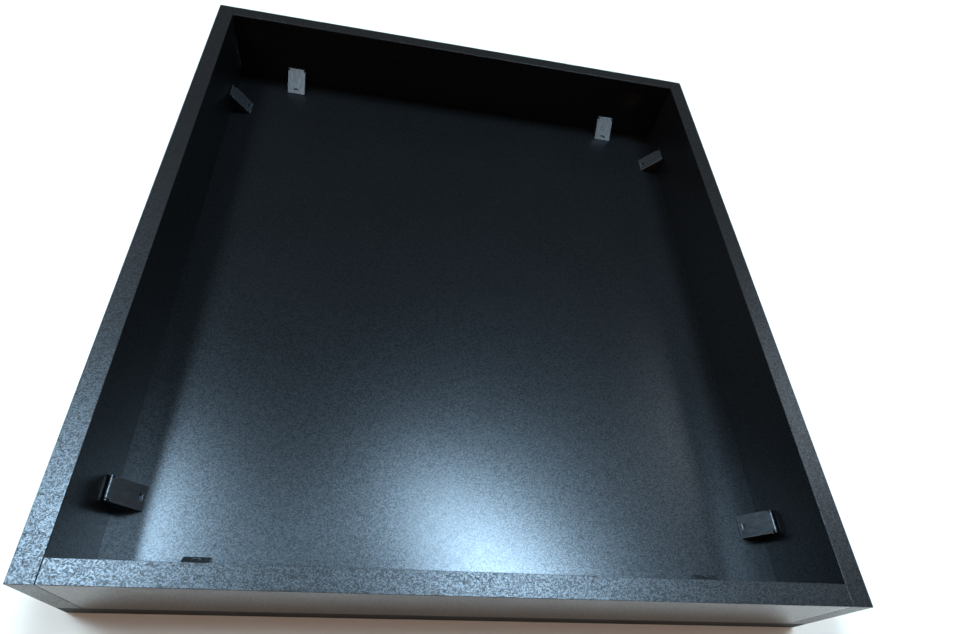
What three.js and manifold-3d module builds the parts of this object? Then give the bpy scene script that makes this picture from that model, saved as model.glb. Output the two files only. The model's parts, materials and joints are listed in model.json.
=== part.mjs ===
// Open display tray (shadow box) of melamine-faced board, lying on its back.
//
// Four walls stand on a full-size back panel. The left and right walls run the whole depth and
// cover the ends of the front and rear walls, which are dowelled to them. Eight plastic corner
// blocks, two on each wall, screw the walls to the back panel. Each block has a sloping cap that
// hinges up from the wall to uncover its two screws.
//
// Frame, in millimetres: +Z up out of the open side, -Y towards the front, +X to the right. The
// origin is the centre of the back panel's outer face.

import * as THREE from 'three';
import Module from 'manifold-3d';
import { mergeVertices } from 'three/addons/utils/BufferGeometryUtils.js';

const wasm = await Module();
wasm.setup();

// ---- Driving dimensions ----

const WIDTH = 560; // outside, left to right
const DEPTH = 650; // outside, front to rear
const BOARD = 16; // thickness of the walls and of the back panel
const WALL_HEIGHT = 66; // of the walls above the back panel
const EDGING = 0.8; // thickness of the edging strips
const GAP = 0.3; // clearance between neighbouring pieces
const CURVE_STEPS = 5; // straight steps for an arc of a profile

const DOWEL_RADIUS = 4;
const DOWEL_LENGTH = 30;
const DOWEL_IN_SIDE = 12; // how far a dowel reaches into a side wall
const DOWEL_CHAMFER = 1;
const DOWEL_HEIGHTS = [18, 48]; // above the back panel
const DOWEL_SIDES = 12;

const SCREW_LENGTH = 15;
const SCREW_RADIUS = 1.75;
const SCREW_HEAD_RADIUS = 3.3;
const SCREW_HEAD_RIM = 0.3; // straight edge of the countersunk head
const SCREW_POINT = 4; // length of the tapered point
const SCREW_SINK = 0.1; // head below the face it is driven into
const SCREW_SIDES = 12;
const RECESS_LENGTH = 3.6;
const RECESS_WIDTH = 0.8;
const RECESS_DEPTH = 1.2;

const BLOCK_WIDTH = 20; // along the wall
const BLOCK_REACH = 22; // where the cap's outer plane meets the wall and the back panel
const LEG_THICKNESS = 3;
const CHEEK_THICKNESS = 1.6;
const EAR_RADIUS = 1.6; // of the cheek round the hinge pin
const PIN_HOLE_RADIUS = 1;
const WALL_SCREW_HEIGHT = 10.5; // above the back panel
const PANEL_SCREW_REACH = 11.5; // from the wall

const CAP_THICKNESS = 1.8;
const CAP_BARREL_RADIUS = 1.5;
const CAP_PIN_RADIUS = 0.75;
const CAP_PIN_SIDES = 10;
const CAP_CORNER = 2; // rounded shoulders beside the hinge
const CAP_SHOULDER = 2; // from the hinge axis to the full-width part
const CAP_FOOT = 0.5; // height of the cap's lower edge above the back panel
const CAP_ANGLE = Math.PI / 4;
const SLOT_LENGTH = 6; // pry slot, along the wall
const SLOT_WIDTH = 2.6;
const SLOT_INSET = 3.9; // from the cap's lower edge to the slot's centre
const RIB_THICKNESS = 1;
const RIB_START = 10; // stiffening ribs, from the hinge axis
const RIB_LENGTH = 5;
const RIB_DEPTH = 2.7;

const SIDE_BLOCK_Y = 245; // from the centre to the blocks on the left and right walls
const END_BLOCK_X = 197; // from the centre to the blocks on the front and rear walls

// ---- Values that follow from them ----

const HALF_WIDTH = WIDTH / 2;
const HALF_DEPTH = DEPTH / 2;
const INNER_X = HALF_WIDTH - BOARD;
const INNER_Y = HALF_DEPTH - BOARD;
const RIM = BOARD + WALL_HEIGHT;
const CORE_TOP = RIM - EDGING - GAP;
const WALL_BASE = BOARD + GAP;

const LEG_FACE = GAP + LEG_THICKNESS;
const HINGE_V = GAP + EAR_RADIUS;
const HINGE_W = BLOCK_REACH - CAP_BARREL_RADIUS * Math.SQRT2 - HINGE_V;
const CAP_UNDERSIDE = CAP_BARREL_RADIUS - CAP_THICKNESS;
const SEAT_SUM = HINGE_V + HINGE_W + (CAP_UNDERSIDE - GAP) * Math.SQRT2;
const HALF_BLOCK = BLOCK_WIDTH / 2;
const NECK = HALF_BLOCK - CAP_CORNER;
const SCREW_HOLE_RADIUS = SCREW_RADIUS + GAP;

// ---- Materials ----

const boardMaterial = { color: 0x23272b, roughness: 0.35, metalness: 0.1 };
const edgingMaterial = { color: 0x2c3135, roughness: 0.4, metalness: 0.1 };
const plasticMaterial = { color: 0x1d2023, roughness: 0.45, metalness: 0 };
const steelMaterial = { color: 0xb4b6b8, roughness: 0.3, metalness: 1 };
const beechMaterial = { color: 0xc9a06c, roughness: 0.7, metalness: 0 };

// ---- Solids ----

function toSolid(geometry) {
  const bare = geometry.clone();
  bare.deleteAttribute('normal');
  bare.deleteAttribute('uv');
  const merged = mergeVertices(bare);
  return new wasm.Manifold(new wasm.Mesh({
    numProp: 3,
    vertProperties: new Float32Array(merged.attributes.position.array),
    triVerts: new Uint32Array(merged.index.array),
  }));
}

function toGeometry(solid) {
  const { vertProperties, triVerts } = solid.getMesh();
  const geometry = new THREE.BufferGeometry();
  geometry.setAttribute('position', new THREE.BufferAttribute(vertProperties, 3));
  geometry.setIndex(new THREE.BufferAttribute(triVerts, 1));
  geometry.computeVertexNormals();
  return geometry;
}

function joined(first, ...others) {
  return others.reduce((whole, other) => whole.add(toSolid(other)), toSolid(first));
}

function without(solid, cutters) {
  return cutters.reduce((rest, cutter) => rest.subtract(toSolid(cutter)), solid);
}

function box(low, high) {
  const size = high.map((value, axis) => value - low[axis]);
  const middle = high.map((value, axis) => (value + low[axis]) / 2);
  return new THREE.BoxGeometry(...size).translate(...middle);
}

// A cylinder from `start`, running `length` along the unit vector `direction`.
function rod(radius, start, direction, length, sides) {
  const along = new THREE.Vector3(...direction);
  const middle = new THREE.Vector3(...start).addScaledVector(along, length / 2);
  const turn = new THREE.Quaternion().setFromUnitVectors(new THREE.Vector3(0, 1, 0), along);
  const cylinder = new THREE.CylinderGeometry(radius, radius, length, sides);
  return cylinder.applyQuaternion(turn).translate(middle.x, middle.y, middle.z);
}

// A profile drawn in X and Z, extruded from y0 to y1.
function extrudeAlongY(shape, y0, y1) {
  const solid = new THREE.ExtrudeGeometry(shape, {
    depth: y1 - y0,
    bevelEnabled: false,
    curveSegments: CURVE_STEPS,
  });
  return solid.translate(0, 0, -y1).rotateX(Math.PI / 2);
}

// A profile revolved about Z, given as [radius, z] pairs that start and end on the axis.
function revolved(points, sides) {
  const profile = points.map(([radius, z]) => new THREE.Vector2(radius, z));
  return new THREE.LatheGeometry(profile, sides).rotateX(Math.PI / 2);
}

// ---- Scene graph helpers ----

const tray = new THREE.Group();

function addMesh(parent, name, geometry, finish) {
  const mesh = new THREE.Mesh(geometry, new THREE.MeshStandardMaterial(finish));
  mesh.name = name;
  parent.add(mesh);
  return mesh;
}

// ---- Where the corner blocks stand ----

// Each place has the foot of the block at the corner of wall and back panel, and the turn about
// Z that points the block's own +X into the tray.
const blockPlaces = [];
for (const [end, alongY] of [['front', -SIDE_BLOCK_Y], ['rear', SIDE_BLOCK_Y]]) {
  blockPlaces.push({ name: `left_${end}`, wall: 'left', x: -INNER_X, y: alongY, turn: 0 });
  blockPlaces.push({ name: `right_${end}`, wall: 'right', x: INNER_X, y: alongY, turn: Math.PI });
}
for (const [end, alongX] of [['left', -END_BLOCK_X], ['right', END_BLOCK_X]]) {
  blockPlaces.push({ name: `front_${end}`, wall: 'front', x: alongX, y: -INNER_Y, turn: Math.PI / 2 });
  blockPlaces.push({ name: `rear_${end}`, wall: 'rear', x: alongX, y: INNER_Y, turn: -Math.PI / 2 });
}

function inwards(place) {
  return [Math.round(Math.cos(place.turn)), Math.round(Math.sin(place.turn)), 0];
}

// ---- Boards ----

const SCREW_REACH = SCREW_LENGTH - (LEG_FACE - SCREW_SINK) + 2 * GAP;

function wallScrewHoles(wall) {
  return blockPlaces.filter((place) => place.wall === wall).map((place) => {
    const into = inwards(place).map((value) => -value);
    const start = [place.x - into[0], place.y - into[1], BOARD + WALL_SCREW_HEIGHT];
    return rod(SCREW_HOLE_RADIUS, start, into, SCREW_REACH + 1, SCREW_SIDES);
  });
}

function panelScrewHoles() {
  return blockPlaces.map((place) => {
    const [dx, dy] = inwards(place);
    const x = place.x + PANEL_SCREW_REACH * dx;
    const y = place.y + PANEL_SCREW_REACH * dy;
    return rod(SCREW_HOLE_RADIUS, [x, y, BOARD + 1], [0, 0, -1], SCREW_REACH + 1, SCREW_SIDES);
  });
}

// The holes of the dowels at one side of the tray, or only those at one end of that side. They
// are bored as one run through the joint, which leaves each board its own blind hole.
function dowelHoles(side, ends) {
  const holes = [];
  for (const end of ends) {
    for (const height of DOWEL_HEIGHTS) {
      const x = side * (INNER_X + DOWEL_IN_SIDE + GAP);
      const start = [x, end * (HALF_DEPTH - BOARD / 2), BOARD + height];
      const length = DOWEL_LENGTH + 2 * GAP;
      holes.push(rod(DOWEL_RADIUS + GAP, start, [-side, 0, 0], length, DOWEL_SIDES));
    }
  }
  return holes;
}

function addSideWall(name, side) {
  const xs = [side * INNER_X, side * HALF_WIDTH].sort((a, b) => a - b);
  const coreEnd = HALF_DEPTH - EDGING - GAP;
  const core = box([xs[0], -coreEnd, WALL_BASE], [xs[1], coreEnd, CORE_TOP]);
  const holes = [...wallScrewHoles(name), ...dowelHoles(side, [-1, 1])];
  addMesh(tray, `${name}_wall`, toGeometry(without(toSolid(core), holes)), boardMaterial);

  const rimStrip = box([xs[0], -HALF_DEPTH, RIM - EDGING], [xs[1], HALF_DEPTH, RIM]);
  addMesh(tray, `${name}_rim_edging`, rimStrip, edgingMaterial);
  for (const [end, sign] of [['front', -1], ['rear', 1]]) {
    const ys = [sign * HALF_DEPTH, sign * (HALF_DEPTH - EDGING)].sort((a, b) => a - b);
    const endStrip = box([xs[0], ys[0], WALL_BASE], [xs[1], ys[1], CORE_TOP]);
    addMesh(tray, `${name}_${end}_end_edging`, endStrip, edgingMaterial);
  }
}

function addEndWall(name, end) {
  const ys = [end * INNER_Y, end * HALF_DEPTH].sort((a, b) => a - b);
  const halfLength = INNER_X - GAP;
  const core = box([-halfLength, ys[0], WALL_BASE], [halfLength, ys[1], CORE_TOP]);
  const holes = [...wallScrewHoles(name), ...dowelHoles(-1, [end]), ...dowelHoles(1, [end])];
  addMesh(tray, `${name}_wall`, toGeometry(without(toSolid(core), holes)), boardMaterial);

  const rimStrip = box([-halfLength, ys[0], RIM - EDGING], [halfLength, ys[1], RIM]);
  addMesh(tray, `${name}_rim_edging`, rimStrip, edgingMaterial);
}

function addBackPanel() {
  const x = HALF_WIDTH - EDGING - GAP;
  const y = HALF_DEPTH - EDGING - GAP;
  const core = box([-x, -y, 0], [x, y, BOARD]);
  const bored = without(toSolid(core), panelScrewHoles());
  addMesh(tray, 'back_panel', toGeometry(bored), boardMaterial);

  for (const [end, sign] of [['front', -1], ['rear', 1]]) {
    const ys = [sign * HALF_DEPTH, sign * (HALF_DEPTH - EDGING)].sort((a, b) => a - b);
    const strip = box([-HALF_WIDTH, ys[0], 0], [HALF_WIDTH, ys[1], BOARD]);
    addMesh(tray, `panel_${end}_edging`, strip, edgingMaterial);
  }
  for (const [side, sign] of [['left', -1], ['right', 1]]) {
    const xs = [sign * HALF_WIDTH, sign * (HALF_WIDTH - EDGING)].sort((a, b) => a - b);
    const strip = box([xs[0], -y, 0], [xs[1], y, BOARD]);
    addMesh(tray, `panel_${side}_edging`, strip, edgingMaterial);
  }
}

// ---- Dowels ----

function addDowels() {
  const half = DOWEL_LENGTH / 2;
  const tip = DOWEL_RADIUS - DOWEL_CHAMFER;
  const dowel = revolved([
    [0, -half],
    [tip, -half],
    [DOWEL_RADIUS, DOWEL_CHAMFER - half],
    [DOWEL_RADIUS, half - DOWEL_CHAMFER],
    [tip, half],
    [0, half],
  ], DOWEL_SIDES);
  for (const [side, sideSign] of [['left', -1], ['right', 1]]) {
    for (const [end, endSign] of [['front', -1], ['rear', 1]]) {
      DOWEL_HEIGHTS.forEach((height, level) => {
        const name = `dowel_${end}_${side}_${level === 0 ? 'lower' : 'upper'}`;
        const mesh = addMesh(tray, name, dowel, beechMaterial);
        const x = sideSign * (INNER_X + DOWEL_IN_SIDE - half);
        mesh.position.set(x, endSign * (HALF_DEPTH - BOARD / 2), BOARD + height);
        mesh.rotation.y = Math.PI / 2;
      });
    }
  }
}

// ---- Screws ----

// Countersunk, along Z, with the flat of the head at z = 0.
function screwGeometry() {
  const neck = SCREW_HEAD_RIM + SCREW_HEAD_RADIUS - SCREW_RADIUS;
  const screw = revolved([
    [0, -SCREW_LENGTH],
    [SCREW_RADIUS, SCREW_POINT - SCREW_LENGTH],
    [SCREW_RADIUS, -neck],
    [SCREW_HEAD_RADIUS, -SCREW_HEAD_RIM],
    [SCREW_HEAD_RADIUS, 0],
    [0, 0],
  ], SCREW_SIDES);
  const long = RECESS_LENGTH / 2;
  const wide = RECESS_WIDTH / 2;
  const recess = [
    box([-long, -wide, -RECESS_DEPTH], [long, wide, 1]),
    box([-wide, -long, -RECESS_DEPTH], [wide, long, 1]),
  ];
  return toGeometry(without(toSolid(screw), recess));
}

// The countersink and clearance hole for such a screw, with the same frame.
function screwClearance() {
  const neck = SCREW_HEAD_RIM + SCREW_HEAD_RADIUS - SCREW_RADIUS;
  return revolved([
    [0, -SCREW_LENGTH],
    [SCREW_HOLE_RADIUS, -SCREW_LENGTH],
    [SCREW_HOLE_RADIUS, -neck],
    [SCREW_HEAD_RADIUS + GAP, -SCREW_HEAD_RIM],
    [SCREW_HEAD_RADIUS + GAP, 1],
    [0, 1],
  ], SCREW_SIDES);
}

const WALL_SCREW_PLACE = [LEG_FACE - SCREW_SINK, 0, WALL_SCREW_HEIGHT];
const PANEL_SCREW_PLACE = [PANEL_SCREW_REACH, 0, LEG_FACE - SCREW_SINK];

// ---- Corner blocks, in their own frame ----
// +X is into the tray from the wall's face, +Y along the wall and +Z up from the back panel.

// Two legs at a right angle, cut off below the cap's underside.
function legProfile() {
  const wallTop = HINGE_W - CAP_BARREL_RADIUS - GAP;
  return new THREE.Shape([
    new THREE.Vector2(GAP, GAP),
    new THREE.Vector2(SEAT_SUM - GAP, GAP),
    new THREE.Vector2(SEAT_SUM - LEG_FACE, LEG_FACE),
    new THREE.Vector2(LEG_FACE, LEG_FACE),
    new THREE.Vector2(LEG_FACE, SEAT_SUM - LEG_FACE),
    new THREE.Vector2(SEAT_SUM - wallTop, wallTop),
    new THREE.Vector2(GAP, wallTop),
  ]);
}

// A triangle under the cap, with a round ear at the hinge and a hole for the pin.
function cheekProfile() {
  const drop = GAP - CAP_UNDERSIDE;
  const meet = -CAP_ANGLE - Math.asin(drop / EAR_RADIUS);
  const profile = new THREE.Shape();
  profile.moveTo(GAP, GAP);
  profile.lineTo(SEAT_SUM - GAP, GAP);
  profile.absarc(HINGE_V, HINGE_W, EAR_RADIUS, meet, Math.PI, false);
  profile.closePath();
  const hole = new THREE.Path();
  hole.absarc(HINGE_V, HINGE_W, PIN_HOLE_RADIUS, 0, 2 * Math.PI, true);
  profile.holes.push(hole);
  return profile;
}

function blockGeometry() {
  const cheek = cheekProfile();
  const inside = HALF_BLOCK - CHEEK_THICKNESS;
  const body = joined(
    extrudeAlongY(legProfile(), -HALF_BLOCK, HALF_BLOCK),
    extrudeAlongY(cheek, -HALF_BLOCK, -inside),
    extrudeAlongY(cheek, inside, HALF_BLOCK),
  );
  return toGeometry(without(body, [
    screwClearance().rotateY(Math.PI / 2).translate(...WALL_SCREW_PLACE),
    screwClearance().translate(...PANEL_SCREW_PLACE),
  ]));
}

// ---- Caps, in their own frame ----
// The origin is on the hinge axis, +X runs down the slope, +Y along the hinge and +Z outwards.

const FOOT_DROP = (HINGE_W - CAP_FOOT) * Math.SQRT2;
const CAP_LENGTH = FOOT_DROP + CAP_BARREL_RADIUS;

// Barrel and plate seen along the hinge, with the lower edge cut level.
function capProfile() {
  const profile = new THREE.Shape();
  const meet = 2 * Math.PI + Math.asin(CAP_UNDERSIDE / CAP_BARREL_RADIUS);
  profile.moveTo(0, CAP_BARREL_RADIUS);
  profile.absarc(0, 0, CAP_BARREL_RADIUS, Math.PI / 2, meet, false);
  profile.lineTo(FOOT_DROP + CAP_UNDERSIDE, CAP_UNDERSIDE);
  profile.lineTo(CAP_LENGTH, CAP_BARREL_RADIUS);
  profile.closePath();
  return profile;
}

// The cap seen from outside: a neck between the ears, rounded shoulders and the pry slot.
function capOutline() {
  const cornerX = CAP_SHOULDER + CAP_CORNER;
  const outline = new THREE.Shape();
  outline.moveTo(-2 * CAP_BARREL_RADIUS, -NECK);
  outline.lineTo(CAP_SHOULDER, -NECK);
  outline.absarc(cornerX, -NECK, CAP_CORNER, Math.PI, 1.5 * Math.PI, false);
  outline.lineTo(CAP_LENGTH + 1, -HALF_BLOCK);
  outline.lineTo(CAP_LENGTH + 1, HALF_BLOCK);
  outline.absarc(cornerX, NECK, CAP_CORNER, 0.5 * Math.PI, Math.PI, false);
  outline.lineTo(-2 * CAP_BARREL_RADIUS, NECK);
  outline.closePath();

  const slotX = CAP_LENGTH - SLOT_INSET;
  const slotEnd = (SLOT_LENGTH - SLOT_WIDTH) / 2;
  const slot = new THREE.Path();
  slot.absarc(slotX, slotEnd, SLOT_WIDTH / 2, 0, Math.PI, false);
  slot.absarc(slotX, -slotEnd, SLOT_WIDTH / 2, Math.PI, 2 * Math.PI, false);
  slot.closePath();
  outline.holes.push(slot);
  return outline;
}

function capGeometry() {
  const depth = 4 * CAP_BARREL_RADIUS;
  const outline = new THREE.ExtrudeGeometry(capOutline(), {
    depth,
    bevelEnabled: false,
    curveSegments: CURVE_STEPS,
  }).translate(0, 0, -depth / 2);
  const section = extrudeAlongY(capProfile(), -HALF_BLOCK, HALF_BLOCK);
  const plate = toSolid(section).intersect(toSolid(outline));

  const pinEnd = HALF_BLOCK - GAP;
  const pin = rod(CAP_PIN_RADIUS, [0, -pinEnd, 0], [0, 1, 0], 2 * pinEnd, CAP_PIN_SIDES);
  const top = CAP_UNDERSIDE + CAP_THICKNESS / 2;
  const ribs = [-1, 1].map((sign) => {
    const ys = [sign * NECK, sign * (NECK - RIB_THICKNESS)].sort((a, b) => a - b);
    const low = [RIB_START, ys[0], CAP_UNDERSIDE - RIB_DEPTH];
    return box(low, [RIB_START + RIB_LENGTH, ys[1], top]);
  });
  return toGeometry([pin, ...ribs].reduce((cap, piece) => cap.add(toSolid(piece)), plate));
}

function addCornerBlocks() {
  const block = blockGeometry();
  const cap = capGeometry();
  const screw = screwGeometry();
  for (const place of blockPlaces) {
    const group = new THREE.Group();
    group.position.set(place.x, place.y, BOARD);
    group.rotation.z = place.turn;
    tray.add(group);

    addMesh(group, `block_${place.name}`, block, plasticMaterial);
    const capMesh = addMesh(group, `cap_${place.name}`, cap, plasticMaterial);
    capMesh.position.set(HINGE_V, 0, HINGE_W);
    capMesh.rotation.y = CAP_ANGLE;
    const wallScrew = addMesh(group, `wall_screw_${place.name}`, screw, steelMaterial);
    wallScrew.position.set(...WALL_SCREW_PLACE);
    wallScrew.rotation.y = Math.PI / 2;
    const panelScrew = addMesh(group, `panel_screw_${place.name}`, screw, steelMaterial);
    panelScrew.position.set(...PANEL_SCREW_PLACE);
  }
}

addBackPanel();
addSideWall('left', -1);
addSideWall('right', 1);
addEndWall('front', -1);
addEndWall('rear', 1);
addDowels();
addCornerBlocks();

export default tray;
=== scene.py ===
# The looks of a display tray of black melamine-faced board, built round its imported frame.
# Metres, +Z up. The tray lies on its back with the open side up.

import json
from math import asin, cos, pi, radians, sin, sqrt, tau

import bmesh
import bpy
from mathutils import Matrix, Vector

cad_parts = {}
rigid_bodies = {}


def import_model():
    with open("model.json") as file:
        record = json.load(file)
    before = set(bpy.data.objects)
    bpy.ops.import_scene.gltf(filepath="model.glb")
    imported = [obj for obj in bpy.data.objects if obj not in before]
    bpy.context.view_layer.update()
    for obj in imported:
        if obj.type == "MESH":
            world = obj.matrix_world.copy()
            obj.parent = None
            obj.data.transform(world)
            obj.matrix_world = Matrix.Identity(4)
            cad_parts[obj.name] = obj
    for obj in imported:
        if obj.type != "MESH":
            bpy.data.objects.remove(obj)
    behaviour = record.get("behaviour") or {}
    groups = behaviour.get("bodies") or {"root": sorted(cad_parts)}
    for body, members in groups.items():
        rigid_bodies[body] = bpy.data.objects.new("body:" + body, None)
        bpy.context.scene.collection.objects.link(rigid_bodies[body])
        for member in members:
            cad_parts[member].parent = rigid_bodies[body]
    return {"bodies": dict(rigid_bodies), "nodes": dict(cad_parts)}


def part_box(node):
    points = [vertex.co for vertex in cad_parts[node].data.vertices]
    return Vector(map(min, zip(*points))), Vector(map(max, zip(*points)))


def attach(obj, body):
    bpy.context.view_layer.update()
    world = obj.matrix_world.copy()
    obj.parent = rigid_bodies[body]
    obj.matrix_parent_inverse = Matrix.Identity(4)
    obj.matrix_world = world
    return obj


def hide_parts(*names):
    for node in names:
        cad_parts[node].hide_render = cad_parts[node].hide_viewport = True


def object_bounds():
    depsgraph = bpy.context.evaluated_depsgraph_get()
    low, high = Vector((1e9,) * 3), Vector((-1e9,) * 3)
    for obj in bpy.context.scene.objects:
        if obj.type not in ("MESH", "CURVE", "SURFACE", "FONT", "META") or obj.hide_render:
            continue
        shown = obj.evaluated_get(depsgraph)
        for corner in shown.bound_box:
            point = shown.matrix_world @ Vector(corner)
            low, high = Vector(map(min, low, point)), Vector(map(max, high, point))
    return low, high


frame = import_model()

CAD_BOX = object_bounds()

# ---- Sizes that the frame doesn't give ----

GLUE_LINE = 0.00003  # between a board and its edging strip
STRIP_RADIUS = 0.0003  # rounded arrises of the edging strips
BOARD_ARRIS = 0.00008  # of a cut board
FIT = 0.00006  # gap under a wall
SEAM = 0.0004  # gap at each end of the front and rear walls
TOUCH = 1e-7  # points nearer than this lie in one plane
HOLE_SIDES = 32

SCREW_LENGTH = 0.015
SCREW_RADIUS = 0.00175
SCREW_CORE_RADIUS = 0.00125
SCREW_HEAD_RADIUS = 0.0033
SCREW_HEAD_RIM = 0.0003
SCREW_HEAD_ARRIS = 0.00014
SCREW_HEAD_ARRIS_INSET = 0.00004  # of the middle of the arris from head and rim
SCREW_NECK = SCREW_HEAD_RIM + SCREW_HEAD_RADIUS - SCREW_RADIUS
SCREW_POINT = 0.004
SCREW_TIP_RADIUS = 0.00012
SCREW_SINK = 0.0001
SCREW_SIDES = 28
SCREW_RINGS = 84
THREAD_PITCH = 0.0013
THREAD_START = 0.0030
THREAD_FOOT = 0.55  # width of the thread at its foot, in pitches
RECESS_TOP = (0.0004, 0.002, 0.00046)  # height of the cutter, half its length and half its width
RECESS_FLOOR = (-0.0013, 0.0008, 0.00026)
PILOT_RADIUS = 0.0019
PILOT_REACH = 0.0006  # of the pilot hole past the screw's ends
COUNTERSINK_RADIUS = 0.0035

EDGE_WEAR_AND_HIGHLIGHT = 0.0006  # width of the paler stretch beside the edges of plastic pieces, partly rubbed wear and partly a painted highlight

DOWEL_RADIUS = 0.004
DOWEL_HOLE_RADIUS = 0.0042
DOWEL_HOLE_REACH = 0.0004  # of the hole past the dowel's ends
DOWEL_FLUTE_DEPTH = 0.00022
DOWEL_FLUTES = 20
DOWEL_SIDES = 6 * DOWEL_FLUTES
DOWEL_CHAMFER = 0.0011

CLEARANCE = 0.0003  # between neighbouring moving or fixed pieces
BLOCK_REACH = 0.022  # where the cap's outer plane meets the wall and the panel
LEG_THICKNESS = 0.003
CHEEK_THICKNESS = 0.0016
EAR_RADIUS = 0.0016
EAR_STEPS = 24
PIN_HOLE_RADIUS = 0.001
BLOCK_ARRIS = 0.00015
WALL_SCREW_HEIGHT = 0.0105
PANEL_SCREW_REACH = 0.0115

CAP_THICKNESS = 0.0018
CAP_BARREL_RADIUS = 0.0015
CAP_BARREL_STEPS = 32
CAP_PIN_RADIUS = 0.00085
CAP_PIN_SIDES = 24
CAP_CORNER = 0.002
CORNER_STEPS = 10
CAP_SHOULDER = 0.002
CAP_FOOT = 0.0005
CAP_ARRIS = 0.0004
CAP_SLOPE = radians(45)
SLOT_LENGTH = 0.006
SLOT_WIDTH = 0.0026
SLOT_INSET = 0.0039
RIB_THICKNESS = 0.001
RIB_START = 0.010
RIB_LENGTH = 0.005
RIB_DEPTH = 0.0027

# ---- Places from the frame ----

INWARD = {
    "left": Vector((1, 0, 0)),
    "right": Vector((-1, 0, 0)),
    "front": Vector((0, 1, 0)),
    "rear": Vector((0, -1, 0)),
}
UP = Vector((0, 0, 1))
SIDE_WALLS = ("left", "right")
PLACES = [name[len("block_"):] for name in sorted(frame["nodes"]) if name.startswith("block_")]
DOWELS = [name for name in sorted(frame["nodes"]) if name.startswith("dowel_")]
PANEL_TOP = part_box("back_panel")[1].z
BLOCK_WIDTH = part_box("block_left_front")[1].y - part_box("block_left_front")[0].y
RIM_STRIP_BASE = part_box("left_rim_edging")[0].z
BODY = next(body for body in frame["bodies"] if not body.startswith("cap_"))


def block_frame(place):
    """The block's own frame: X into the tray, Y along the wall, Z up, from the foot of the wall."""
    wall = place.split("_")[0]
    inward = INWARD[wall]
    along = UP.cross(inward)
    face = max(corner.dot(inward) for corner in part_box(f"{wall}_wall"))
    low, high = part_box(f"block_{place}")
    middle = (low + high).dot(along) / 2
    matrix = Matrix((inward, along, UP)).transposed().to_4x4()
    matrix.translation = inward * face + along * middle + UP * PANEL_TOP
    return matrix


# ---- Mesh helpers ----


def add_object(name, bm, *materials):
    """A new object from a bmesh, which is used up, with its faces turned outwards."""
    bmesh.ops.recalc_face_normals(bm, faces=bm.faces)
    mesh = bpy.data.meshes.new(name)
    bm.to_mesh(mesh)
    bm.free()
    for material in materials:
        mesh.materials.append(material)
    piece = bpy.data.objects.new(name, mesh)
    bpy.context.scene.collection.objects.link(piece)
    return piece


def apply_modifiers(piece):
    """Replaces the piece's mesh by its evaluated one."""
    depsgraph = bpy.context.evaluated_depsgraph_get()
    mesh = bpy.data.meshes.new_from_object(piece.evaluated_get(depsgraph))
    old = piece.data
    piece.modifiers.clear()
    piece.data = mesh
    bpy.data.meshes.remove(old)
    mesh.name = piece.name
    return piece


def combine(piece, operation, *others):
    """Joins or cuts the piece with the others, which are used up."""
    for other in others:
        modifier = piece.modifiers.new("combine", "BOOLEAN")
        modifier.operation = operation
        modifier.object = other
        modifier.solver = "EXACT"
    apply_modifiers(piece)
    for other in others:
        mesh = other.data
        bpy.data.objects.remove(other)
        bpy.data.meshes.remove(mesh)
    return piece


def round_arrises(piece, radius, steps, limit=radians(40)):
    """Rounds every edge sharper than the limit."""
    modifier = piece.modifiers.new("round", "BEVEL")
    modifier.width = radius
    modifier.segments = steps
    modifier.limit_method = "ANGLE"
    modifier.angle_limit = limit
    return apply_modifiers(piece)


def shade(piece, limit=radians(35)):
    """Smooth shading that keeps large faces flat and edges past the limit sharp."""
    for polygon in piece.data.polygons:
        polygon.use_smooth = True
    piece.data.set_sharp_from_angle(angle=limit)
    modifier = piece.modifiers.new("weighted", "WEIGHTED_NORMAL")
    modifier.keep_sharp = True
    return apply_modifiers(piece)


def box(low, high):
    """A box from its lowest to its highest corner."""
    bm = bmesh.new()
    bmesh.ops.create_cube(bm, size=1)
    size = Vector(high) - Vector(low)
    middle = (Vector(high) + Vector(low)) / 2
    for vertex in bm.verts:
        vertex.co = Vector(a * b for a, b in zip(vertex.co, size)) + middle
    return bm


def join_rings(bm, rings):
    """Faces from each ring of vertices to the next, and over the first and the last ring."""
    for below, above in zip(rings, rings[1:]):
        for i in range(len(below)):
            bm.faces.new((below[i - 1], below[i], above[i], above[i - 1]))
    bm.faces.new(rings[0])
    bm.faces.new(rings[-1])


def prism(outline, axis, low, high):
    """An outline of (u, v) points drawn across the axis, run along it from low to high."""
    bm = bmesh.new()
    rings = []
    for level in (low, high):
        if axis == "Y":
            ring = [bm.verts.new((u, level, v)) for u, v in outline]
        else:
            ring = [bm.verts.new((u, v, level)) for u, v in outline]
        rings.append(ring)
    join_rings(bm, rings)
    return bm


def arc(centre, radius, start, end, steps):
    """Points on an arc, both ends included."""
    angles = [start + (end - start) * i / steps for i in range(steps + 1)]
    return [(centre[0] + radius * cos(a), centre[1] + radius * sin(a)) for a in angles]


def turned(profile, sides, shape=None):
    """Rings about Z from (radius, z) pairs. shape(z, angle) scales the radius."""
    bm = bmesh.new()
    rings = []
    for radius, z in profile:
        ring = []
        for i in range(sides):
            angle = tau * i / sides
            reach = radius * (shape(z, angle) if shape else 1)
            ring.append(bm.verts.new((reach * cos(angle), reach * sin(angle), z)))
        rings.append(ring)
    join_rings(bm, rings)
    return bm


def rod(radius, start, end, sides=HOLE_SIDES):
    """A cylinder between two points, made to cut a hole or to be a pin."""
    start, end = Vector(start), Vector(end)
    bm = turned([(radius, 0), (radius, (end - start).length)], sides)
    turn = UP.rotation_difference(end - start).to_matrix().to_4x4()
    bm.transform(Matrix.Translation(start) @ turn)
    return bm


# ---- Material helpers ----


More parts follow.
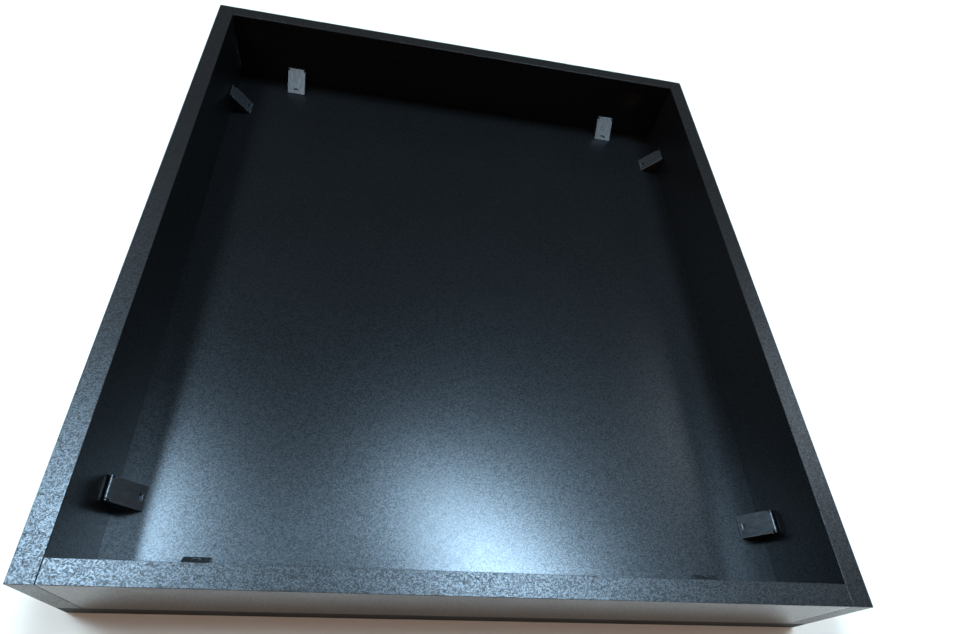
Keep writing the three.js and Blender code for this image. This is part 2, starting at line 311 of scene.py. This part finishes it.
def add_node(tree, kind, inputs=None, **settings):
    """A node with its settings. Inputs, by name or number, are linked to sockets or set to values."""
    node = tree.nodes.new(kind)
    for name, value in settings.items():
        setattr(node, name, value)
    for name, value in (inputs or {}).items():
        if isinstance(value, bpy.types.NodeSocket):
            tree.links.new(value, node.inputs[name])
        else:
            node.inputs[name].default_value = value
    return node


def new_material(name, **sockets):
    """A Principled material with constant sockets, its tree, and object coordinates."""
    material = bpy.data.materials.new(name)
    material.use_nodes = True
    tree = material.node_tree
    shader = tree.nodes["Principled BSDF"]
    for socket, value in sockets.items():
        shader.inputs[socket.replace("_", " ")].default_value = value
    place = tree.nodes.new("ShaderNodeTexCoord").outputs["Object"]
    return material, tree, shader, place


def stretch(tree, place, scale):
    """Coordinates scaled differently along each axis."""
    return add_node(tree, "ShaderNodeMapping", {"Vector": place, "Scale": scale}).outputs[0]


def noise(tree, place, scale, detail=2.0, roughness=0.5):
    inputs = {"Vector": place, "Scale": scale, "Detail": detail, "Roughness": roughness}
    return add_node(tree, "ShaderNodeTexNoise", inputs).outputs[0]


def flakes(tree, place, scale):
    """A random grey for each cell of a fine cellular pattern."""
    cells = add_node(tree, "ShaderNodeTexVoronoi", {"Vector": place, "Scale": scale})
    return add_node(tree, "ShaderNodeSeparateColor", {"Color": cells.outputs["Color"]}).outputs[0]


def remap(tree, value, low, high, new_low, new_high):
    """The value's range from low to high, stretched onto the new range and kept within it."""
    inputs = {"Value": value, "From Min": low, "From Max": high, "To Min": new_low, "To Max": new_high}
    return add_node(tree, "ShaderNodeMapRange", inputs).outputs[0]


def calculate(tree, operation, *operands):
    inputs = dict(enumerate(operands))
    return add_node(tree, "ShaderNodeMath", inputs, operation=operation).outputs[0]


def blend(tree, first, share, second, other_share):
    """The sum of two values, each times its share."""
    first_part = calculate(tree, "MULTIPLY", first, share)
    second_part = calculate(tree, "MULTIPLY", second, other_share)
    return calculate(tree, "ADD", first_part, second_part)


def colours(tree, value, *stops):
    """A colour ramp with (position, (r, g, b)) stops."""
    node = add_node(tree, "ShaderNodeValToRGB", {"Fac": value})
    ramp = node.color_ramp
    while len(ramp.elements) < len(stops):
        ramp.elements.new(0.5)
    for element, (position, colour) in zip(ramp.elements, stops):
        element.position = position
        element.color = (*colour, 1)
    return node.outputs["Color"]


def bump(tree, height, strength, distance):
    inputs = {"Height": height, "Strength": strength, "Distance": distance}
    return add_node(tree, "ShaderNodeBump", inputs).outputs[0]


def finish_material(tree, shader, colour, roughness, normal):
    """Links what varies over every material to its shader."""
    tree.links.new(colour, shader.inputs["Base Color"])
    tree.links.new(roughness, shader.inputs["Roughness"])
    tree.links.new(normal, shader.inputs["Normal"])


# ---- Materials ----


def laminate_material():
    """Black melamine facing: a pearl speckle, clearest in glare, under a smoother clear overlay."""
    gloss = {"IOR": 1.5, "Coat_Weight": 0.4, "Coat_Roughness": 0.17}
    material, tree, shader, place = new_material("laminate", **gloss)
    pearls = flakes(tree, place, 1300)
    clouds = noise(tree, place, 14, 4)
    tone = blend(tree, flakes(tree, place, 1900), 0.7, clouds, 0.3)
    colour = colours(
        tree,
        tone,
        (0.1, (0.0035, 0.0033, 0.0034)),
        (0.75, (0.0042, 0.004, 0.0041)),
        (0.9, (0.008, 0.0076, 0.0078)),
    )
    fine_gloss = remap(tree, pearls, 0, 1, 0.277, 0.283)
    broad_gloss = remap(tree, clouds, 0.3, 0.7, 0, 0.008)
    roughness = calculate(tree, "ADD", fine_gloss, broad_gloss)
    tree.links.new(remap(tree, pearls, 0, 1, 0.52, 0.13), shader.inputs["Specular IOR Level"])
    dimples = noise(tree, place, 750, 3, 0.6)
    finish_material(tree, shader, colour, roughness, bump(tree, dimples, 0.5, 0.00008))
    return material


def edging_material():
    """Edging strip in the same decor, with a stronger pearl speckle."""
    material, tree, shader, place = new_material("edging", IOR=1.5)
    pearls = flakes(tree, place, 1300)
    colour = colours(
        tree,
        pearls,
        (0.15, (0.006, 0.005, 0.0044)),
        (0.7, (0.0098, 0.0078, 0.0068)),
        (0.9, (0.0175, 0.0143, 0.0125)),
    )
    roughness = remap(tree, pearls, 0, 1, 0.3, 0.35)
    tree.links.new(remap(tree, pearls, 0, 1, 0.78, 0.08), shader.inputs["Specular IOR Level"])
    dimples = noise(tree, place, 900, 3, 0.65)
    finish_material(tree, shader, colour, roughness, bump(tree, dimples, 0.4, 0.00008))
    return material


def matt_edging_material():
    """Plain matt strip on the back panel's edges."""
    material, tree, shader, place = new_material("matt_edging", IOR=1.4)
    grain = noise(tree, place, 1400, 3)
    streaks = noise(tree, stretch(tree, place, (0.05, 0.05, 1)), 500, 3)
    colour = colours(tree, streaks, (0.3, (0.003, 0.003, 0.0035)), (0.7, (0.006, 0.006, 0.0065)))
    roughness = remap(tree, grain, 0.3, 0.7, 0.6, 0.75)
    finish_material(tree, shader, colour, roughness, bump(tree, grain, 0.5, 0.00006))
    return material


def chipboard_material():
    """Cut edges of the board: pressed wood chips."""
    material, tree, shader, place = new_material("chipboard")
    chips = flakes(tree, stretch(tree, place, (1, 1, 3)), 420)
    dust = noise(tree, place, 1800, 3)
    colour = colours(
        tree,
        blend(tree, chips, 0.7, dust, 0.3),
        (0.1, (0.11, 0.07, 0.035)),
        (0.5, (0.3, 0.2, 0.11)),
        (0.9, (0.48, 0.36, 0.22)),
    )
    roughness = remap(tree, dust, 0.3, 0.7, 0.75, 0.95)
    finish_material(tree, shader, colour, roughness, bump(tree, chips, 0.6, 0.0002))
    return material


def edge_wear_and_highlight(tree, grain):
    """How near the surface is to a convex or concave edge, from 0 to 1, broken up by the grain: the
    band painted paler, partly as rubbed wear and partly as a painted edge highlight.
    """
    flat = add_node(tree, "ShaderNodeNewGeometry").outputs["Normal"]
    rounded = add_node(tree, "ShaderNodeBevel", {"Radius": EDGE_WEAR_AND_HIGHLIGHT}, samples=4).outputs[0]
    inputs = {0: flat, 1: rounded}
    likeness = add_node(tree, "ShaderNodeVectorMath", inputs, operation="DOT_PRODUCT").outputs["Value"]
    nearness = remap(tree, likeness, 0.999, 0.95, 0, 1)
    return calculate(tree, "MULTIPLY", nearness, remap(tree, grain, 0.3, 0.7, 0.3, 1))


def plastic_material(name, dark, light, worn_and_highlit):
    """Spark-textured moulded plastic, paler at its edges: partly rubbed wear, partly a painted edge
    highlight.
    """
    material, tree, shader, place = new_material(name, IOR=1.65)
    grain = noise(tree, place, 3200, 2)
    flow = noise(tree, stretch(tree, place, (1, 2.5, 1)), 120, 3)
    # Edges painted paler: partly rubbed wear, partly a painted edge highlight.
    wear_and_highlight = calculate(tree, "MULTIPLY", edge_wear_and_highlight(tree, grain), 0.5)
    tone = calculate(tree, "ADD", blend(tree, grain, 0.2, flow, 0.3), wear_and_highlight)
    colour = colours(tree, tone, (0.15, dark), (0.35, light), (0.75, worn_and_highlit))
    fine_gloss = remap(tree, grain, 0.3, 0.7, 0.2, 0.27)
    broad_gloss = remap(tree, flow, 0.3, 0.7, -0.02, 0.03)
    roughness = calculate(tree, "ADD", fine_gloss, broad_gloss)
    finish_material(tree, shader, colour, roughness, bump(tree, grain, 0.3, 0.00003))
    return material


def steel_material():
    """Zinc-plated screw steel with a slightly uneven plating."""
    material, tree, shader, place = new_material("zinc_steel", Metallic=1.0)
    plating = noise(tree, place, 700, 4)
    scratches = noise(tree, stretch(tree, place, (1, 1, 14)), 900, 3)
    colour = colours(
        tree,
        plating,
        (0.3, (0.42, 0.43, 0.45)),
        (0.55, (0.6, 0.61, 0.63)),
        (0.75, (0.68, 0.66, 0.6)),
    )
    roughness = remap(tree, scratches, 0.3, 0.7, 0.22, 0.42)
    finish_material(tree, shader, colour, roughness, bump(tree, scratches, 0.3, 0.00003))
    return material


def beech_material():
    """Beech, with its grain along X and short darker rays."""
    material, tree, shader, place = new_material("beech")
    grain = noise(tree, stretch(tree, place, (0.08, 1, 1)), 1100, 4)
    rays = noise(tree, stretch(tree, place, (0.3, 1, 1)), 2600, 1)
    tone = blend(tree, grain, 0.65, rays, 0.35)
    colour = colours(
        tree,
        tone,
        (0.3, (0.3, 0.16, 0.075)),
        (0.5, (0.5, 0.3, 0.15)),
        (0.7, (0.6, 0.39, 0.21)),
    )
    roughness = remap(tree, rays, 0.3, 0.7, 0.5, 0.75)
    finish_material(tree, shader, colour, roughness, bump(tree, grain, 0.5, 0.00008))
    return material


LAMINATE = laminate_material()
EDGING = edging_material()
MATT_EDGING = matt_edging_material()
CHIPBOARD = chipboard_material()
BLOCK_PLASTIC = plastic_material(
    "block_plastic",
    dark=(0.006, 0.0065, 0.0075),
    light=(0.011, 0.012, 0.013),
    # Pale edge colour: partly rubbed wear, partly a painted edge highlight.
    worn_and_highlit=(0.03, 0.032, 0.034),
)
CAP_PLASTIC = plastic_material(
    "cap_plastic",
    dark=(0.018, 0.018, 0.018),
    light=(0.025, 0.025, 0.025),
    # Pale edge colour: partly rubbed wear, partly a painted edge highlight.
    worn_and_highlit=(0.2, 0.21, 0.22),
)
STEEL = steel_material()
BEECH = beech_material()

# ---- Boards ----


def wall_box(node):
    """The node's box, from just above the back panel to just under the rim's strips."""
    low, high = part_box(node)
    low.z = PANEL_TOP + FIT
    high.z = RIM_STRIP_BASE - GLUE_LINE
    return low, high


def fit_between(low, high, axis, first_strip, last_strip):
    """Moves the two corners along the axis, to a glue line from the strips at either end."""
    low[axis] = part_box(first_strip)[1][axis] + GLUE_LINE
    high[axis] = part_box(last_strip)[0][axis] - GLUE_LINE


def hole_along(node, axis, radius, reach):
    """A cutter along the middle of the node, reaching past both its ends."""
    low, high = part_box(node)
    start = (low + high) / 2
    end = start.copy()
    start[axis] = low[axis] - reach
    end[axis] = high[axis] + reach
    return add_object("hole", rod(radius, start, end))


def screw_hole(node):
    """The pilot hole, along the screw's longest side."""
    low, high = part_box(node)
    axis = max(range(3), key=lambda i: high[i] - low[i])
    return hole_along(node, axis, PILOT_RADIUS, PILOT_REACH)


def dowel_hole(node):
    return hole_along(node, 0, DOWEL_HOLE_RADIUS, DOWEL_HOLE_REACH)


def board(name, low, high, thickness_axis, holes):
    """A laminated board: faces in melamine, cut edges in chipboard, bored for its fittings."""
    bm = box(low, high)
    bmesh.ops.bevel(bm, geom=bm.edges[:], offset=BOARD_ARRIS, segments=1, affect="EDGES")
    piece = combine(add_object(f"{name}_board", bm, LAMINATE, CHIPBOARD), "DIFFERENCE", *holes)
    for polygon in piece.data.polygons:
        polygon.material_index = 0 if abs(polygon.normal[thickness_axis]) > 0.5 else 1
    shade(piece)
    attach(piece, BODY)
    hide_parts(name)


def make_boards():
    """The four walls, bored for screws and dowels, and the back panel, bored for screws."""
    for wall in INWARD:
        low, high = wall_box(f"{wall}_wall")
        if wall in SIDE_WALLS:
            across = 0
            fit_between(low, high, 1, f"{wall}_front_end_edging", f"{wall}_rear_end_edging")
        else:
            across = 1
            low.x += SEAM
            high.x -= SEAM
        screws = [f"wall_screw_{place}" for place in PLACES if place.startswith(wall)]
        dowels = [name for name in DOWELS if f"_{wall}_" in name]
        holes = [screw_hole(name) for name in screws] + [dowel_hole(name) for name in dowels]
        board(f"{wall}_wall", low, high, across, holes)

    low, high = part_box("back_panel")
    fit_between(low, high, 0, "panel_left_edging", "panel_right_edging")
    fit_between(low, high, 1, "panel_front_edging", "panel_rear_edging")
    board("back_panel", low, high, 2, [screw_hole(f"panel_screw_{place}") for place in PLACES])


# ---- Edging strips ----


def strip(name, low, high, outward, borders, material=EDGING):
    """An edging strip, its outer face rounded where it borders the faces across the axes given."""
    bm = box(low, high)
    axis, side = outward
    outer = (high if side > 0 else low)[axis]

    def lies_on(edge, across, value):
        return all(abs(vertex.co[across] - value) < TOUCH for vertex in edge.verts)

    limits = [(across, corner[across]) for across in borders for corner in (low, high)]
    chosen = [
        edge
        for edge in bm.edges
        if lies_on(edge, axis, outer) and any(lies_on(edge, *limit) for limit in limits)
    ]
    bmesh.ops.bevel(bm, geom=chosen, offset=STRIP_RADIUS, segments=4, profile=0.5, affect="EDGES")
    piece = shade(add_object(f"{name}_strip", bm, material))
    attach(piece, BODY)
    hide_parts(name)


def make_strips():
    """Strips on the rim, on the ends of the side walls and round the back panel."""
    ends = (("front", -1), ("rear", 1))
    for wall in INWARD:
        low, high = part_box(f"{wall}_rim_edging")
        strip(f"{wall}_rim_edging", low, high, (2, 1), (0, 1))
    for wall in SIDE_WALLS:
        for end, side in ends:
            low, high = wall_box(f"{wall}_{end}_end_edging")
            strip(f"{wall}_{end}_end_edging", low, high, (1, side), (0,))
    for end, side in ends:
        low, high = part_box(f"panel_{end}_edging")
        strip(f"panel_{end}_edging", low, high, (1, side), (0, 2), MATT_EDGING)
    for wall, side in zip(SIDE_WALLS, (-1, 1)):
        low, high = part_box(f"panel_{wall}_edging")
        fit_between(low, high, 1, "panel_front_edging", "panel_rear_edging")
        strip(f"panel_{wall}_edging", low, high, (0, side), (2,), MATT_EDGING)


# ---- Dowels ----


def make_dowels():
    """Fluted dowels with chamfered ends. They share one mesh."""
    low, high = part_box(DOWELS[0])
    half = (high.x - low.x) / 2
    tip = DOWEL_RADIUS - DOWEL_CHAMFER
    inner = half - DOWEL_CHAMFER
    profile = [
        (tip, -half),
        (DOWEL_RADIUS, -inner),
        (DOWEL_RADIUS, 0),
        (DOWEL_RADIUS, inner),
        (tip, half),
    ]

    def flutes(z, angle):
        return 1 - DOWEL_FLUTE_DEPTH / DOWEL_RADIUS * (0.5 - 0.5 * cos(DOWEL_FLUTES * angle))

    bm = turned(profile, DOWEL_SIDES, flutes)
    bm.transform(Matrix.Rotation(pi / 2, 4, "Y"))
    model = shade(add_object("dowel", bm, BEECH))
    for name in DOWELS:
        low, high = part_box(name)
        piece = bpy.data.objects.new(f"fluted_{name}", model.data)
        bpy.context.scene.collection.objects.link(piece)
        piece.location = (low + high) / 2
        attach(piece, BODY)
        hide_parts(name)
    bpy.data.objects.remove(model)


# ---- Screws ----


def thread(z, angle):
    """The thread's height at this place on the shaft, as a share of the outer radius."""
    if z > -THREAD_START:
        return 1.0
    turn = (z / THREAD_PITCH + angle / tau) % 1
    ridge = max(0.0, 1 - abs(2 * turn - 1) / THREAD_FOOT)
    fade = min(1.0, (-z - THREAD_START) / THREAD_PITCH)
    core = SCREW_CORE_RADIUS / SCREW_RADIUS
    return 1 - fade * (1 - core) * (1 - ridge)


def recess_arm(across):
    """One tapered arm of the cross recess, its long side along X or across it."""
    bm = bmesh.new()
    corners = ((-1, -1), (1, -1), (1, 1), (-1, 1))
    levels = []
    for z, half_length, half_width in (RECESS_TOP, RECESS_FLOOR):
        levels.append([bm.verts.new((half_length * a, half_width * b, z)) for a, b in corners])
    join_rings(bm, levels)
    bm.transform(Matrix.Rotation(pi / 2 if across else 0, 4, "Z"))
    return add_object("recess", bm)


def screw_mesh():
    """Countersunk, along Z, the flat of the head at z = 0, with a rolled thread and cross recess."""
    rim = SCREW_HEAD_RADIUS
    profile = [
        (rim - SCREW_HEAD_ARRIS, 0),
        (rim - SCREW_HEAD_ARRIS_INSET, -SCREW_HEAD_ARRIS_INSET),
        (rim, -SCREW_HEAD_ARRIS),
        (rim, -SCREW_HEAD_RIM),
        (SCREW_RADIUS, -SCREW_NECK),
    ]
    for i in range(1, SCREW_RINGS + 1):
        z = -SCREW_NECK - (SCREW_LENGTH - SCREW_NECK) * i / SCREW_RINGS
        taper = min(1.0, (SCREW_LENGTH + z) / SCREW_POINT)
        profile.append((max(SCREW_TIP_RADIUS, SCREW_RADIUS * taper), z))
    screw = add_object("screw", turned(profile, SCREW_SIDES, thread), STEEL)
    combine(screw, "DIFFERENCE", recess_arm(False), recess_arm(True))
    return shade(screw, radians(50))


# ---- Corner blocks, in their own frame ----

LEG_FACE = CLEARANCE + LEG_THICKNESS
HINGE_V = CLEARANCE + EAR_RADIUS
HINGE_W = BLOCK_REACH - CAP_BARREL_RADIUS * sqrt(2) - HINGE_V
CAP_UNDERSIDE = CAP_BARREL_RADIUS - CAP_THICKNESS
SEAT_SUM = HINGE_V + HINGE_W + (CAP_UNDERSIDE - CLEARANCE) * sqrt(2)
HALF_BLOCK = BLOCK_WIDTH / 2
NECK = HALF_BLOCK - CAP_CORNER
HEAD_FACE = LEG_FACE - SCREW_SINK
WALL_SCREW = Matrix.Translation((HEAD_FACE, 0, WALL_SCREW_HEIGHT)) @ Matrix.Rotation(pi / 2, 4, "Y")
PANEL_SCREW = Matrix.Translation((PANEL_SCREW_REACH, 0, HEAD_FACE))
HINGE = Matrix.Translation((HINGE_V, 0, HINGE_W)) @ Matrix.Rotation(CAP_SLOPE, 4, "Y")


def countersink(place):
    """The countersunk hole of a screw in a leg."""
    profile = [
        (PILOT_RADIUS, -SCREW_LENGTH / 2),
        (PILOT_RADIUS, -SCREW_NECK),
        (COUNTERSINK_RADIUS, -SCREW_HEAD_RIM),
        (COUNTERSINK_RADIUS, LEG_THICKNESS / 2),
    ]
    bm = turned(profile, HOLE_SIDES)
    bm.transform(place)
    return add_object("countersink", bm)


def block_mesh():
    """Two legs and two cheeks with hinge ears, bored for the screws and the cap's pins."""
    wall_top = HINGE_W - CAP_BARREL_RADIUS - CLEARANCE
    legs = [
        (CLEARANCE, CLEARANCE),
        (SEAT_SUM - CLEARANCE, CLEARANCE),
        (SEAT_SUM - LEG_FACE, LEG_FACE),
        (LEG_FACE, LEG_FACE),
        (LEG_FACE, SEAT_SUM - LEG_FACE),
        (SEAT_SUM - wall_top, wall_top),
        (CLEARANCE, wall_top),
    ]
    drop = CLEARANCE - CAP_UNDERSIDE
    ear_start = -CAP_SLOPE - asin(drop / EAR_RADIUS)
    ear = arc((HINGE_V, HINGE_W), EAR_RADIUS, ear_start, pi, EAR_STEPS)
    cheek = [(CLEARANCE, CLEARANCE), (SEAT_SUM - CLEARANCE, CLEARANCE), *ear]
    inside = HALF_BLOCK - CHEEK_THICKNESS
    leg_end = HALF_BLOCK - CHEEK_THICKNESS / 2
    block = add_object("block", prism(legs, "Y", -leg_end, leg_end), BLOCK_PLASTIC)
    combine(
        block,
        "UNION",
        add_object("cheek", prism(cheek, "Y", -HALF_BLOCK, -inside)),
        add_object("cheek", prism(cheek, "Y", inside, HALF_BLOCK)),
    )
    pin_hole = rod(PIN_HOLE_RADIUS, (HINGE_V, -BLOCK_WIDTH, HINGE_W), (HINGE_V, BLOCK_WIDTH, HINGE_W))
    combine(
        block,
        "DIFFERENCE",
        countersink(WALL_SCREW),
        countersink(PANEL_SCREW),
        add_object("hole", pin_hole),
    )
    return shade(round_arrises(block, BLOCK_ARRIS, 2))


# ---- Caps ----
# The origin is on the hinge axis, X runs down the slope, Y along the hinge and Z outwards.

FOOT_DROP = (HINGE_W - CAP_FOOT) * sqrt(2)
CAP_LENGTH = FOOT_DROP + CAP_BARREL_RADIUS


def cap_mesh():
    """A plate on a barrel, with rounded shoulders, a pry slot, hinge pins and two ribs."""
    barrel_end = tau + asin(CAP_UNDERSIDE / CAP_BARREL_RADIUS)
    barrel = arc((0, 0), CAP_BARREL_RADIUS, pi / 2, barrel_end, CAP_BARREL_STEPS)
    section = [*barrel, (FOOT_DROP + CAP_UNDERSIDE, CAP_UNDERSIDE), (CAP_LENGTH, CAP_BARREL_RADIUS)]
    plate = add_object("cap", prism(section, "Y", -HALF_BLOCK, HALF_BLOCK), CAP_PLASTIC)

    start = -2 * CAP_BARREL_RADIUS
    shoulder = CAP_SHOULDER + CAP_CORNER
    outline = [
        (start, -NECK),
        *arc((shoulder, -NECK), CAP_CORNER, pi, 1.5 * pi, CORNER_STEPS),
        (CAP_LENGTH + CLEARANCE, -HALF_BLOCK),
        (CAP_LENGTH + CLEARANCE, HALF_BLOCK),
        *arc((shoulder, NECK), CAP_CORNER, 0.5 * pi, pi, CORNER_STEPS),
        (start, NECK),
    ]
    combine(plate, "INTERSECT", add_object("outline", prism(outline, "Z", start, -start)))
    slot_x = CAP_LENGTH - SLOT_INSET
    slot_end = (SLOT_LENGTH - SLOT_WIDTH) / 2
    slot = [
        *arc((slot_x, slot_end), SLOT_WIDTH / 2, 0, pi, CORNER_STEPS),
        *arc((slot_x, -slot_end), SLOT_WIDTH / 2, pi, tau, CORNER_STEPS),
    ]
    combine(plate, "DIFFERENCE", add_object("slot", prism(slot, "Z", start, -start)))
    round_arrises(plate, CAP_ARRIS, 3)

    pin_end = HALF_BLOCK - CLEARANCE
    pieces = [add_object("pin", rod(CAP_PIN_RADIUS, (0, -pin_end, 0), (0, pin_end, 0), CAP_PIN_SIDES))]
    for sign in (-1, 1):
        sides = sorted((sign * NECK, sign * (NECK - RIB_THICKNESS)))
        low = (RIB_START, sides[0], CAP_UNDERSIDE - RIB_DEPTH)
        high = (RIB_START + RIB_LENGTH, sides[1], CAP_UNDERSIDE + CAP_THICKNESS / 2)
        rib = box(low, high)
        bmesh.ops.bevel(rib, geom=rib.edges[:], offset=BLOCK_ARRIS, segments=2, affect="EDGES")
        pieces.append(add_object("rib", rib))
    return shade(combine(plate, "UNION", *pieces))


def make_corner_blocks():
    """Each place gets a block, its cap and two screws, all copies of four shared meshes."""
    models = {
        "block": (block_mesh(), Matrix.Identity(4), "block_plastic"),
        "cap": (cap_mesh(), HINGE, "cap_plastic"),
        "wall_screw": (screw_mesh(), WALL_SCREW, "screw_steel"),
    }
    models["panel_screw"] = (models["wall_screw"][0], PANEL_SCREW, "screw_steel")
    for place in PLACES:
        foot = block_frame(place)
        for kind, (model, local, slot) in models.items():
            node = f"{kind}_{place}"
            piece = bpy.data.objects.new(f"{kind}.{place}", model.data)
            bpy.context.scene.collection.objects.link(piece)
            piece.matrix_world = foot @ local
            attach(piece, f"cap_{place}" if kind == "cap" else BODY)
            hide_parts(node)
    for model in {entry[0] for entry in models.values()}:
        bpy.data.objects.remove(model)


# ---- Studio ----

CAMERA_PLACE = (-0.0827, -0.4027, 0.4323)
CAMERA_TURN = (28.925, -9.095, -0.512)  # degrees about X, Y and Z
SENSOR_WIDTH = 36  # millimetres, as the lens
LENS = 20.75
LENS_SHIFT = (0.034, 0.12)  # in sensor widths
CLIP_START = 0.02

LIGHT_DISTANCE = 6
BELL_REACH = 3  # half a light's width, in spreads
COOL = (0.66, 1.0, 1.33)
PALE = (0.78, 1.0, 1.18)
WALL_TOP = (radians(5), radians(15))  # heights between which the pale walls fade out
WALL_RADIANCE = 0.4
CEILING_RADIANCE = 0.02

FLOOR_REACH = 6
FLOOR_CELLS = 8
FLOOR_GAP = 0.0002  # between the floor and the tray


def add_camera():
    data = bpy.data.cameras.new("camera")
    data.sensor_width = SENSOR_WIDTH
    data.lens = LENS
    data.shift_x, data.shift_y = LENS_SHIFT
    data.clip_start = CLIP_START
    camera = bpy.data.objects.new("camera", data)
    camera.location = CAMERA_PLACE
    camera.rotation_euler = [radians(angle) for angle in CAMERA_TURN]
    bpy.context.scene.collection.objects.link(camera)
    bpy.context.scene.camera = camera


def add_softbox(name, aim, direction, spread, radiance, colour):
    """A light shining on the aim from the direction, with a bell-shaped falloff.

    The spread is the bell's width each way, in radians as seen from the aim. The radiance is what an
    evenly bright light of that size would have.
    """
    data = bpy.data.lights.new(name, "AREA")
    data.shape = "RECTANGLE"
    data.size, data.size_y = (2 * BELL_REACH * LIGHT_DISTANCE * angle for angle in spread)
    data.energy = radiance * pi * data.size * data.size_y
    data.color = colour
    data.use_nodes = True
    tree = data.node_tree
    across = add_node(tree, "ShaderNodeNewGeometry").outputs["Parametric"]
    middle = {0: across, 1: (0.5, 0.5, 0)}
    offset = add_node(tree, "ShaderNodeVectorMath", middle, operation="DISTANCE").outputs["Value"]
    square = calculate(tree, "MULTIPLY", offset, offset)
    exponent = calculate(tree, "MULTIPLY", square, -2 * BELL_REACH**2)
    strength = calculate(tree, "EXPONENT", exponent)
    tree.links.new(strength, tree.nodes["Emission"].inputs["Strength"])
    light = bpy.data.objects.new(name, data)
    towards = Vector(direction).normalized()
    light.location = Vector(aim) + towards * LIGHT_DISTANCE
    light.rotation_euler = towards.to_track_quat("Z", "Y").to_euler()
    light.visible_camera = False
    bpy.context.scene.collection.objects.link(light)


def add_floor():
    """A plain pale floor, barely uneven."""
    material, tree, shader, place = new_material("floor", IOR=1.4)
    tone = noise(tree, place, 3, 3)
    colour = colours(tree, tone, (0.3, (0.97, 0.78, 0.63)), (0.7, (0.99, 0.8, 0.65)))
    roughness = remap(tree, tone, 0.3, 0.7, 0.75, 0.85)
    ripple = noise(tree, place, 60, 2)
    finish_material(tree, shader, colour, roughness, bump(tree, ripple, 0.05, 0.001))
    bm = bmesh.new()
    bmesh.ops.create_grid(bm, x_segments=FLOOR_CELLS, y_segments=FLOOR_CELLS, size=FLOOR_REACH)
    floor = add_object("floor", bm, material)
    floor.location.z = CAD_BOX[0].z - FLOOR_GAP


def add_world():
    """A dim studio whose pale walls reach a little above the horizon."""
    world = bpy.data.worlds.new("studio")
    world.use_nodes = True
    tree = world.node_tree
    direction = tree.nodes.new("ShaderNodeTexCoord").outputs["Generated"]
    height = add_node(tree, "ShaderNodeSeparateXYZ", {"Vector": direction}).outputs["Z"]
    background = tree.nodes["Background"]
    background.inputs["Color"].default_value = (1.0, 0.92, 0.8, 1)
    strength = remap(tree, height, sin(WALL_TOP[0]), sin(WALL_TOP[1]), WALL_RADIANCE, CEILING_RADIANCE)
    tree.links.new(strength, background.inputs["Strength"])
    bpy.context.scene.world = world


def light_studio():
    """Window glare from the rear, faint lights that pick out caps and rim, and warm light in front."""
    front = (0.01, -0.28, 0.02)
    left_front = (-0.24, -0.3, 0.05)
    middle = (0, 0, 0.03)
    left_rear = (-0.14, 0.29, 0.03)
    right_rear = (0.14, 0.29, 0.03)
    right_rim = (0.27, -0.06, 0.08)
    right_caps = (0.25, 0, 0.03)
    ground = (0, -0.35, 0)

    add_world()
    add_softbox("key", front, (0.25, 0.23, 0.945), (0.13, 0.055), 55, COOL)
    add_softbox("side", left_front, (-0.42, 0.24, 0.875), (0.09, 0.055), 71, COOL)
    add_softbox("ceiling", middle, (-0.1, 0.25, 0.96), (0.25, 0.06), 3.0, COOL)
    add_softbox("fill_left", left_rear, (-0.14, -0.49, 0.86), (0.06, 0.06), 7.5, PALE)
    add_softbox("fill_right", right_rear, (0.33, -0.47, 0.82), (0.06, 0.06), 5.8, PALE)
    add_softbox("right", right_rim, (0.66, 0.4, 0.64), (0.1, 0.1), 4.4, (0.85, 1.0, 1.15))
    add_softbox("fill_rear", right_caps, (-0.62, 0.55, 0.5), (0.12, 0.15), 1.3, (0.9, 1.0, 1.08))
    add_softbox("warm", ground, (-0.55, -0.6, 0.58), (0.15, 0.15), 3, (1.0, 0.5, 0.2))


bpy.context.scene.view_settings.view_transform = "Standard"
add_camera()
add_floor()
light_studio()
make_boards()
make_strips()
make_dowels()
make_corner_blocks()
